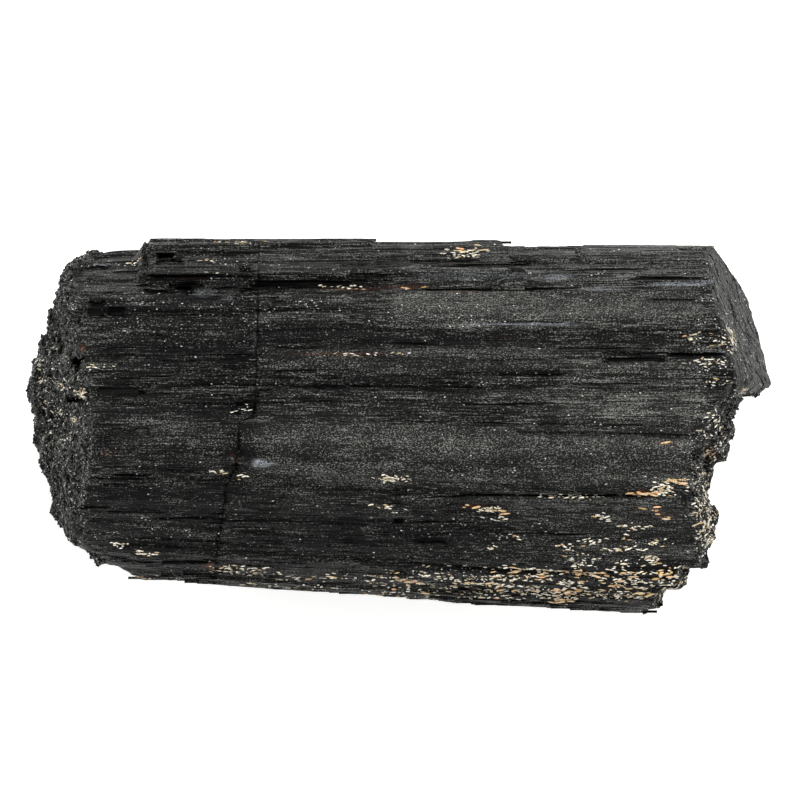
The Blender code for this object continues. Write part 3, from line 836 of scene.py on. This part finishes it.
# %% The crack's share of a place
def crack_share(tree, place):
    """1 along the line of the crack that crosses the crystal, and 0 elsewhere."""
    parts = add(tree, "ShaderNodeSeparateXYZ", {"Vector": place})
    middle = crack_middle(tree, parts["Y"])
    wander = add(tree, "ShaderNodeTexNoise", {"Vector": place, "Scale": per_metre(2.0), "Detail": 3.0})["Fac"]
    offset = add(tree, "ShaderNodeMapRange", {
        "Value": wander, "To Min": -CRACK_WANDER / 2 * MM, "To Max": CRACK_WANDER / 2 * MM})["Result"]
    from_middle = add(tree, "ShaderNodeMath", {0: parts["X"], 1: middle}, operation="SUBTRACT")["Value"]
    wandering = add(tree, "ShaderNodeMath", {0: from_middle, 1: offset}, operation="ADD")["Value"]
    away = add(tree, "ShaderNodeMath", {0: wandering}, operation="ABSOLUTE")["Value"]
    return add(tree, "ShaderNodeMapRange", {
        "Value": away, "From Min": 0.3 * CRACK_WIDTH * MM, "From Max": 0.7 * CRACK_WIDTH * MM,
        "To Min": 1.0, "To Max": 0.0})["Result"]


print(f"the crack's line is {CRACK_WIDTH} mm wide")

# %% [markdown]
# ## Schorl
#
# Schorl is a hard, glassy, iron-black mineral with an index of refraction of about 1.64. Its colour is so
# deep that what the eye sees is mostly sheen: bright where a rib faces the light, black where it doesn't.
# A painted picture of it would look right from one side only, so all of it is worked out from the place on
# the crystal, by noise drawn out lengthways like the fibres.

# %% Patterns in the schorl
SPARKLE_SIZE = 0.22
PATTERNS = {
    # Length and width in mm, and detail. Real striations are 0.1 to 0.5 mm apart and real glints are finer
    # than 0.1 mm. Both are drawn about twice as coarse, so that they show.
    "stripes": (12.0, 0.5, 3.0),
    "streaks": (60.0, 4.0, 4.0),
    "grain": (1.4 * SPARKLE_SIZE, SPARKLE_SIZE, 2.0),
    "blotch": (6.0, 2.0, 3.0),
    "lines": (8.0, 0.24, 2.0),
    "pits": (0.9, 0.9, 2.0),
}


def schorl_patterns(tree, place):
    """A noise from 0 to 1 over the crystal for each of the patterns."""
    found = {}
    for name, (length, width, detail) in PATTERNS.items():
        scale = (per_metre(length), per_metre(width), per_metre(width))
        scaled = add(tree, "ShaderNodeMapping", {"Vector": place, "Scale": scale})["Vector"]
        noise = add(tree, "ShaderNodeTexNoise", {"Vector": scaled, "Scale": 1.0, "Detail": detail})
        found[name] = noise["Fac"]
    return found


print("patterns:", ", ".join(PATTERNS))

# %% [markdown]
# Tiny broken faces flash among the black, and here those glints are painted highlights: light grey laid into
# the colour. A glint is where several patterns happen to be high together: the fine grain first, helped by
# the tone of the lath, with its painted light, and by broad blotches. Where the surface is ribbed, fine lines
# take over from part of the grain, and draw the glints out into short dashes.

# %% Glints
GLINT_FROM_TONE, GLINT_FROM_BLOTCH = 0.28, 0.2
GLINT_FROM_LINES, LINES_LEVEL, GRAIN_TAKEN_OVER = 0.6, -0.19, -0.2
PAINTED_GLINT_STOPS = ((0.655, "#000000"), (0.795, "#ffffff"))


def glints(tree, pattern, ribbed, tone_with_painted_light):
    """1 on the painted glints, and 0 between them."""
    lighter = add(tree, "ShaderNodeMath", {0: tone_with_painted_light, 1: 0.5}, operation="SUBTRACT")["Value"]
    line = add(tree, "ShaderNodeMath", {
        0: pattern["lines"], 1: GLINT_FROM_LINES, 2: LINES_LEVEL}, operation="MULTIPLY_ADD")["Value"]
    line = add(tree, "ShaderNodeMath", {
        0: pattern["grain"], 1: GRAIN_TAKEN_OVER, 2: line}, operation="MULTIPLY_ADD")["Value"]
    glint = pattern["grain"]
    for given, share in ((lighter, GLINT_FROM_TONE), (pattern["blotch"], GLINT_FROM_BLOTCH), (line, ribbed)):
        glint = add(tree, "ShaderNodeMath", {0: given, 1: share, 2: glint}, operation="MULTIPLY_ADD")["Value"]
    return add(tree, "ShaderNodeValToRGB", {"Fac": glint}, PAINTED_GLINT_STOPS)["Color"]


print(f"glints begin at {PAINTED_GLINT_STOPS[0][0]} of the summed patterns")

# %% [markdown]
# Light hardly reaches into the crack, the hollows and the pits between the small crystals of the ends, so
# these are drawn nearly black. Rust has crept along a few ledges, and pale mineral dust clings in places.
# Each is a share from 0 to 1 that lays its own colour over the black.

# %% Darkness, rust and dust
PIT_STOPS = ((0.45, "#ffffff"), (0.51, "#000000"))
DUST_STOPS = ((0.38, "#000000"), (0.54, "#ffffff"))


def darkness(tree, pattern, kept, place):
    """1 in the crack, in hollows and in the pits of the crusty ends, and 0 elsewhere."""
    pit = add(tree, "ShaderNodeValToRGB", {"Fac": pattern["pits"]}, PIT_STOPS)["Color"]
    pitted = add(tree, "ShaderNodeMath", {0: kept["crusty"], 1: pit}, operation="MULTIPLY")["Value"]
    dark = add(tree, "ShaderNodeMath", {
        0: crack_share(tree, place), 1: kept["hollow"]}, operation="MAXIMUM")["Value"]
    return add(tree, "ShaderNodeMath", {0: dark, 1: pitted}, operation="MAXIMUM")["Value"]


def rust_and_dust(tree, pattern, kept):
    """How rusty and how dusty each point is. Rust runs in the stripes, and dust lies as loose specks."""
    rusty = add(tree, "ShaderNodeMath", {
        0: kept["rust"], 1: pattern["stripes"]}, operation="MULTIPLY")["Value"]
    loose = add(tree, "ShaderNodeValToRGB", {"Fac": pattern["grain"]}, DUST_STOPS)["Color"]
    dusty = add(tree, "ShaderNodeMath", {0: kept["pale_dust"], 1: loose}, operation="MULTIPLY")["Value"]
    return rusty, dusty


print(f"pits are about {PATTERNS['pits'][0]} mm across")

# %% [markdown]
# The layers come together in one material. The stripes and the grain also tilt the surface a little as
# bumps, because they are finer than the mesh, and so each rib and each grain catches the light by itself.

# %% The schorl material
# Its fine glints are painted highlights, light grey laid into the colour.
# Schorl, grown as a bundle of glassy needles and then broken. It gives the eye near black with fine glints.
# Its faces are scratched and etched, so they reflect far less than polished schorl of the same index.
BLACKS = ((0.3, "#020202"), (0.5, "#0b0b0a"), (0.7, "#1c1c1a"))
PAINTED_GLINT_GREY, RUST_BROWN, DUST_GREY, DEEP_BLACK = "#7a7b76", "#6b3a1e", "#9a9fa6", "#020202"
STREAKS_IN_TONE, PAINTED_LIGHTNESS_IN_TONE = 0.55, 0.45
RIB_BUMP, GRAIN_BUMP = 0.17, 0.18
SMOOTHEST, ROUGHEST = 0.38, 0.6
SCHORL_IOR, SCHORL_REFLECTION = 1.64, 0.07
MARKS = ("painted_lightness", "rust", "pale_dust", "ribbed", "hollow", "crusty")


def schorl_colour(tree, pattern, kept, place):
    """Black by tone with its painted light and shade, then painted glints, rust, dust and painted darkness
    laid over it in turn.
    """
    lit = add(tree, "ShaderNodeMath", {
        0: kept["painted_lightness"], 1: PAINTED_LIGHTNESS_IN_TONE}, operation="MULTIPLY")["Value"]
    tone_with_painted_light = add(tree, "ShaderNodeMath", {
        0: pattern["streaks"], 1: STREAKS_IN_TONE, 2: lit}, operation="MULTIPLY_ADD")["Value"]
    rusty, dusty = rust_and_dust(tree, pattern, kept)
    layers = ((glints(tree, pattern, kept["ribbed"], tone_with_painted_light), PAINTED_GLINT_GREY), (rusty, RUST_BROWN),
              (dusty, DUST_GREY), (darkness(tree, pattern, kept, place), DEEP_BLACK))
    colour = add(tree, "ShaderNodeValToRGB", {"Fac": tone_with_painted_light}, BLACKS)["Color"]
    for share, over in layers:
        colour = add(tree, "ShaderNodeMix", {"Factor": share, "A": colour, "B": linear(over)},
                     data_type="RGBA")["Result"]
    return colour


def schorl_material():
    """Schorl with stripes, glints, rust, dust, pits and the crack."""
    material, tree, shader = new_material("schorl_striated")
    place = add(tree, "ShaderNodeTexCoord")["Object"]
    pattern = schorl_patterns(tree, place)
    kept = {name: add(tree, "ShaderNodeAttribute", attribute_name=name)["Fac"] for name in MARKS}
    ribs = add(tree, "ShaderNodeMath", {
        0: pattern["stripes"], 1: kept["ribbed"]}, operation="MULTIPLY")["Value"]
    ribbed = add(tree, "ShaderNodeBump", {
        "Height": ribs, "Distance": RIB_BUMP * MM, "Strength": 0.9})["Normal"]
    grainy = add(tree, "ShaderNodeBump", {
        "Height": pattern["grain"], "Normal": ribbed, "Distance": GRAIN_BUMP * MM, "Strength": 1.0})["Normal"]
    sheen = add(tree, "ShaderNodeMapRange", {
        "Value": pattern["streaks"], "To Min": SMOOTHEST, "To Max": ROUGHEST})["Result"]
    tree.links.new(schorl_colour(tree, pattern, kept, place), shader.inputs["Base Color"])
    tree.links.new(sheen, shader.inputs["Roughness"])
    tree.links.new(grainy, shader.inputs["Normal"])
    shader.inputs["IOR"].default_value = SCHORL_IOR
    shader.inputs["Specular IOR Level"].default_value = SCHORL_REFLECTION
    return material


schorl = schorl_material()
crystal.data.materials.clear()
crystal.data.materials.append(schorl)
print("material:", schorl.name)

# %% [markdown]
# ## The crystal takes the solid's place
#
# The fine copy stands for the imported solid, and rides on the same body. The solid itself stays as the
# crystal's shape for anything that touches it.

# %% The crystal in the frame
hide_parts("tourmaline_crystal")
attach(crystal, "root")
print("the crystal rides on root")

# %% [markdown]
# ## Scattering with Geometry Nodes
#
# Thin laths, small blocky crystals, splinters, grains and flakes are all the same idea: a small shape,
# placed at random points of the surface, turned to lie along it and sized at random. A loop in Python could
# place them, but would have to find the points and the directions itself. One tree does them all. Its
# inputs say how many, how large and how deep, and attributes of the crystal say where they are and which
# way is out.

# %% The tree's inputs
SCATTER_INPUTS = (
    # name, kind of socket and default
    ("Where", "String", ""),
    ("Way out", "String", "outward"),
    ("Most per square mm", "Float", 1.0),
    ("Smallest", "Vector", (1.0, 1.0, 1.0)),
    ("Largest", "Vector", (1.0, 1.0, 1.0)),
    ("Least shift", "Vector", (0.0, 0.0, 0.0)),
    ("Most shift", "Vector", (0.0, 0.0, 0.0)),
    ("Most turn", "Vector", (0.0, 0.0, 0.0)),
    ("Seed", "Int", 1),
)


def new_scatter_tree(name):
    """A tree with its sockets, and the outputs of its input node."""
    tree = bpy.data.node_groups.new(name, "GeometryNodeTree")
    tree.interface.new_socket(name="Surface", in_out="INPUT", socket_type="NodeSocketGeometry")
    for label, kind, default in SCATTER_INPUTS:
        made = tree.interface.new_socket(name=label, in_out="INPUT", socket_type="NodeSocket" + kind)
        made.default_value = default
    tree.interface.new_socket(name="Scattered", in_out="OUTPUT", socket_type="NodeSocketGeometry")
    return tree, add(tree, "NodeGroupInput")


print(f"{len(SCATTER_INPUTS)} inputs besides the surface")

# %% [markdown]
# Each copy's third side points the way out of the surface, and its first side lies along the crystal, which
# is how everything on it grew. A small random turn is added, so that no two lie quite alike.

# %% Points and turns
def scattered_points(tree, given):
    """Random points on the surface, densest where the named attribute is 1."""
    where = add(tree, "GeometryNodeInputNamedAttribute", {"Name": given["Where"]},
                data_type="FLOAT")["Attribute"]
    per_square_metre = add(tree, "ShaderNodeMath", {
        0: given["Most per square mm"], 1: MM**-2}, operation="MULTIPLY")["Value"]
    density = add(tree, "ShaderNodeMath", {0: per_square_metre, 1: where}, operation="MULTIPLY")["Value"]
    return add(tree, "GeometryNodeDistributePointsOnFaces", {
        "Mesh": given["Surface"], "Density": density, "Seed": given["Seed"]})["Points"]


def along_the_crystal(tree, given, turn):
    """The turn that lays a copy along the crystal, facing out, with its own random turn added."""
    out = add(tree, "GeometryNodeInputNamedAttribute", {"Name": given["Way out"]},
              data_type="FLOAT_VECTOR")["Attribute"]
    upright = add(tree, "FunctionNodeAlignRotationToVector", {"Vector": out}, axis="Z")["Rotation"]
    lengthways = add(tree, "FunctionNodeAlignRotationToVector", {
        "Rotation": upright, "Vector": (1.0, 0.0, 0.0)}, axis="X", pivot_axis="Z")["Rotation"]
    as_rotation = add(tree, "FunctionNodeEulerToRotation", {"Euler": turn})["Rotation"]
    return add(tree, "FunctionNodeRotateRotation", {
        "Rotation": lengthways, "Rotate By": as_rotation}, rotation_space="LOCAL")["Rotation"]


print("copies lie along the crystal, facing out")

# %% The scattering tree
def scatter_tree(name, shape, material):
    """Scatters copies of a shape, made by shape(tree), over the surface it is given."""
    tree, given = new_scatter_tree(name)
    other_way = add(tree, "ShaderNodeVectorMath", {
        0: given["Most turn"], "Scale": -1.0}, operation="SCALE")["Vector"]
    turn, size, shift = (
        add(tree, "FunctionNodeRandomValue", {"Min": least, "Max": most, "Seed": given["Seed"]},
            data_type="FLOAT_VECTOR")["Value"]
        for least, most in ((other_way, given["Most turn"]), (given["Smallest"], given["Largest"]),
                            (given["Least shift"], given["Most shift"])))
    in_metres = add(tree, "ShaderNodeVectorMath", {0: size, "Scale": MM}, operation="SCALE")["Vector"]
    placed = add(tree, "GeometryNodeInstanceOnPoints", {
        "Points": scattered_points(tree, given), "Instance": shape(tree),
        "Rotation": along_the_crystal(tree, given, turn), "Scale": in_metres})["Instances"]
    shifted = add(tree, "GeometryNodeTranslateInstances", {
        "Instances": placed, "Translation": shift, "Local Space": True})["Instances"]
    tint = add(tree, "FunctionNodeRandomValue", {"Seed": given["Seed"]}, data_type="FLOAT")["Value"]
    tinted = add(tree, "GeometryNodeStoreNamedAttribute", {
        "Geometry": shifted, "Value": tint, "Name": "tint"}, data_type="FLOAT", domain="INSTANCE")["Geometry"]
    real = add(tree, "GeometryNodeRealizeInstances", {"Geometry": tinted})["Geometry"]
    painted = add(tree, "GeometryNodeSetMaterial", {"Geometry": real, "Material": material})["Geometry"]
    add(tree, "NodeGroupOutput", {"Scattered": painted})
    return tree


def scatter(name, shape, material, inputs):
    """Makes one plain mesh piece of scattered shapes, which rides with the crystal."""
    tree = scatter_tree(name, shape, material)
    made = bpy.data.objects.new(name, crystal.data)
    bpy.context.scene.collection.objects.link(made)
    modifier = made.modifiers.new(name, "NODES")
    modifier.node_group = tree
    identifiers = {item.name: item.identifier for item in tree.interface.items_tree if item.in_out == "INPUT"}
    for label, value in inputs.items():
        modifier[identifiers[label]] = value
    keep_result(made)
    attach(made, "root")
    print(f"{name}: {sum(len(face.vertices) - 2 for face in made.data.polygons)} triangles")


print("the tree realizes its copies and gives them their material")

# %% [markdown]
# ## Shapes to scatter
#
# The shapes themselves are small and have few faces, because thousands of them are made: a block for laths,
# crystals and flakes, and a rough pebble of twenty faces for grains.

# %% A block and a pebble
PEBBLE_PUSH = 0.14


def block(tree):
    """A block, which its size makes a blade, a crystal or a flake."""
    return add(tree, "GeometryNodeMeshCube", {"Size": (1.0, 1.0, 1.0)})["Mesh"]


def pebble(tree):
    """A twenty-sided pebble with its corners pushed about."""
    ball = add(tree, "GeometryNodeMeshIcoSphere", {"Radius": 0.5, "Subdivisions": 1})["Mesh"]
    push = add(tree, "FunctionNodeRandomValue", {
        "Min": (-PEBBLE_PUSH,) * 3, "Max": (PEBBLE_PUSH,) * 3, "Seed": 3}, data_type="FLOAT_VECTOR")["Value"]
    return add(tree, "GeometryNodeSetPosition", {"Geometry": ball, "Offset": push})["Geometry"]


print("shapes: a block of 12 triangles and a pebble of 20")

# %% [markdown]
# ## Laths, crystals and splinters
#
# Fine blades of schorl stand on edge along the flanks, where needles have split off. The left end is grown
# over with small blocky crystals, and the broken corners bristle with splinters. All are sunk a little into
# the surface, so that they grow out of it. Sizes are in millimetres, shifts are shares of the copy's own
# size, and turns are in radians.

# %% Laths, crystals and splinters
scatter("fine_laths", block, schorl, {
    "Where": "striped", "Way out": "radial", "Most per square mm": 0.16,
    "Smallest": (1.5, 0.10, 0.5), "Largest": (9.0, 0.30, 0.5),
    "Least shift": (0.0, 0.0, -0.45), "Most shift": (0.0, 0.0, -0.30),
    "Most turn": (0.25, 0.005, 0.02), "Seed": 1})
scatter("end_crystals", block, schorl, {
    "Where": "granular", "Way out": "outward", "Most per square mm": 1.2,
    "Smallest": (0.25, 0.2, 0.3), "Largest": (0.8, 0.6, 0.6),
    "Least shift": (0.0, 0.0, -0.35), "Most shift": (0.0, 0.0, 0.15),
    "Most turn": (0.6, 0.6, 0.8), "Seed": 2})
scatter("break_splinters", block, schorl, {
    "Where": "splintered", "Way out": "outward", "Most per square mm": 0.9,
    "Smallest": (0.3, 0.2, 0.3), "Largest": (1.1, 0.5, 0.6),
    "Least shift": (0.0, 0.0, -0.35), "Most shift": (0.0, 0.0, 0.15),
    "Most turn": (0.5, 0.5, 0.4), "Seed": 3})

# %% [markdown]
# ## Grains and flakes
#
# The pale grains are feldspar, dull and cream where clean, tan to orange where iron has stained them. They
# are drawn out along the ribs that they sit between. The flakes are mica, tiny and pearly. One material
# could hold all three, but the finishes differ, and each grain should differ from the next, so each
# mineral has its own ramp of colours and each grain its own place on it.

# %% Grain materials
MOTTLE_SIZE, MOTTLE_BUMP = 0.4, 0.1


def grain_material(name, colours, roughness):
    """A dull mineral: each grain takes its own tint from a ramp, with a fine mottle over it."""
    material, tree, shader = new_material(name)
    place = add(tree, "ShaderNodeTexCoord")["Object"]
    tint = add(tree, "ShaderNodeAttribute", attribute_name="tint")["Fac"]
    stops = tuple(zip(np.linspace(0.0, 1.0, len(colours)), colours))
    colour = add(tree, "ShaderNodeValToRGB", {"Fac": tint}, stops)["Color"]
    mottle = add(tree, "ShaderNodeTexNoise", {
        "Vector": place, "Scale": per_metre(MOTTLE_SIZE), "Detail": 2.0})["Fac"]
    shade = add(tree, "ShaderNodeValToRGB", {"Fac": mottle}, ((0.3, "#c8c8c8"), (0.5, "#ffffff")))["Color"]
    shaded = add(tree, "ShaderNodeMix", {"Factor": 1.0, "A": colour, "B": shade},
                 data_type="RGBA", blend_type="MULTIPLY")["Result"]
    bump = add(tree, "ShaderNodeBump", {
        "Height": mottle, "Distance": MOTTLE_BUMP * MM, "Strength": 0.6})["Normal"]
    tree.links.new(shaded, shader.inputs["Base Color"])
    tree.links.new(bump, shader.inputs["Normal"])
    shader.inputs["Roughness"].default_value = roughness
    return material


# Feldspar cleaves into dull, chalky chips. Where iron has soaked in, the chips turn tan to orange. Mica
# splits into thin pearly leaves, which look grey or white by how they lie, and their tints from dark grey to
# white are that sheen painted into the colour.
CREAMS = ("#c9a768", "#dcd0b4", "#f8eed8", "#fffdf6", "#fdf0d2")
TANS = ("#c8a56c", "#d6ae7c", "#ebc894", "#f4dab2", "#f0b080")
MICA_PAINTED_SHEEN = ("#4c4e4b", "#7d807b", "#a9aca6", "#ffffff")
feldspar = grain_material("feldspar_cream", CREAMS, 0.6)
stained = grain_material("feldspar_iron_stained", TANS, 0.65)
mica = grain_material("mica_flake", MICA_PAINTED_SHEEN, 0.4)
print("materials:", ", ".join(grain.name for grain in (feldspar, stained, mica)))

# %% Grains and flakes
scatter("feldspar_grains", pebble, feldspar, {
    "Where": "cream", "Way out": "outward", "Most per square mm": 6.0,
    "Smallest": (0.2, 0.12, 0.2), "Largest": (1.3, 0.34, 0.35),
    "Least shift": (0.0, 0.0, 0.0), "Most shift": (0.0, 0.0, 0.4),
    "Most turn": (0.4, 0.2, 0.4), "Seed": 4})
scatter("stained_grains", pebble, stained, {
    "Where": "stained", "Way out": "outward", "Most per square mm": 3.0,
    "Smallest": (0.5, 0.2, 0.3), "Largest": (2.6, 0.6, 0.4),
    "Least shift": (0.0, 0.0, -0.05), "Most shift": (0.0, 0.0, 0.25),
    "Most turn": (0.3, 0.2, 0.25), "Seed": 5})
scatter("mica_flakes", block, mica, {
    "Where": "flakes", "Way out": "outward", "Most per square mm": 1.75,
    "Smallest": (0.10, 0.07, 0.1), "Largest": (0.38, 0.17, 0.1),
    "Least shift": (0.0, 0.0, 0.2), "Most shift": (0.0, 0.0, 1.0),
    "Most turn": (0.4, 0.4, 0.5), "Seed": 6})

# %% [markdown]
# ## The floor
#
# The crystal lies on matt white acrylic, as under a small object in a studio. A real one is often lit from
# below to lift its shadow. A little emission in its material does the same here.

# %% Floor
FLOOR_HALF = 3.0
acrylic, _, surface = new_material("white_acrylic")
surface.inputs["Base Color"].default_value = linear("#f4f4f2")
surface.inputs["Roughness"].default_value = 0.9
surface.inputs["Emission Color"].default_value = linear("#ffffff")
surface.inputs["Emission Strength"].default_value = 0.62

bm = bmesh.new()
bmesh.ops.create_grid(bm, x_segments=1, y_segments=1, size=FLOOR_HALF)
floor = bpy.data.objects.new("floor", bpy.data.meshes.new("floor"))
bm.to_mesh(floor.data)
bm.free()
floor.data.materials.append(acrylic)
bpy.context.scene.collection.objects.link(floor)
print(f"floor: {2 * FLOOR_HALF:.0f} m square")

# %% [markdown]
# ## Lights
#
# A black crystal shows by what it reflects. Small lamps would give hard sparks on the glints, so large soft
# boxes stand around it: the strongest behind, so that the ribs on the far side catch it, and weaker ones on
# the left, on the right and in front. The world adds only a trace of light.

# %% World and softboxes
SOFTBOXES = (
    # name, place and size in metres, and power in watts
    ("key", (0.2, 0.85, 1.35), 1.0, 29.0),
    ("left", (-1.4, 0.2, 0.8), 0.8, 10.0),
    ("right", (1.4, -0.2, 0.8), 0.8, 9.0),
    ("front", (0.1, -1.6, 0.8), 0.9, 11.0),
)
world = bpy.data.worlds.new("studio")
bpy.context.scene.world = world
world.use_nodes = True
world.node_tree.nodes["Background"].inputs["Color"].default_value = (1.0, 1.0, 1.0, 1.0)
world.node_tree.nodes["Background"].inputs["Strength"].default_value = 0.03

for name, place, size, power in SOFTBOXES:
    light = bpy.data.lights.new(name, "AREA")
    light.size = size
    light.energy = power
    softbox = bpy.data.objects.new(name, light)
    softbox.location = place
    softbox.rotation_mode = "QUATERNION"
    softbox.rotation_quaternion = (-Vector(place)).to_track_quat("-Z", "Y")
    bpy.context.scene.collection.objects.link(softbox)
bpy.context.scene.view_settings.view_transform = "Standard"
print(f"{len(SOFTBOXES)} softboxes")
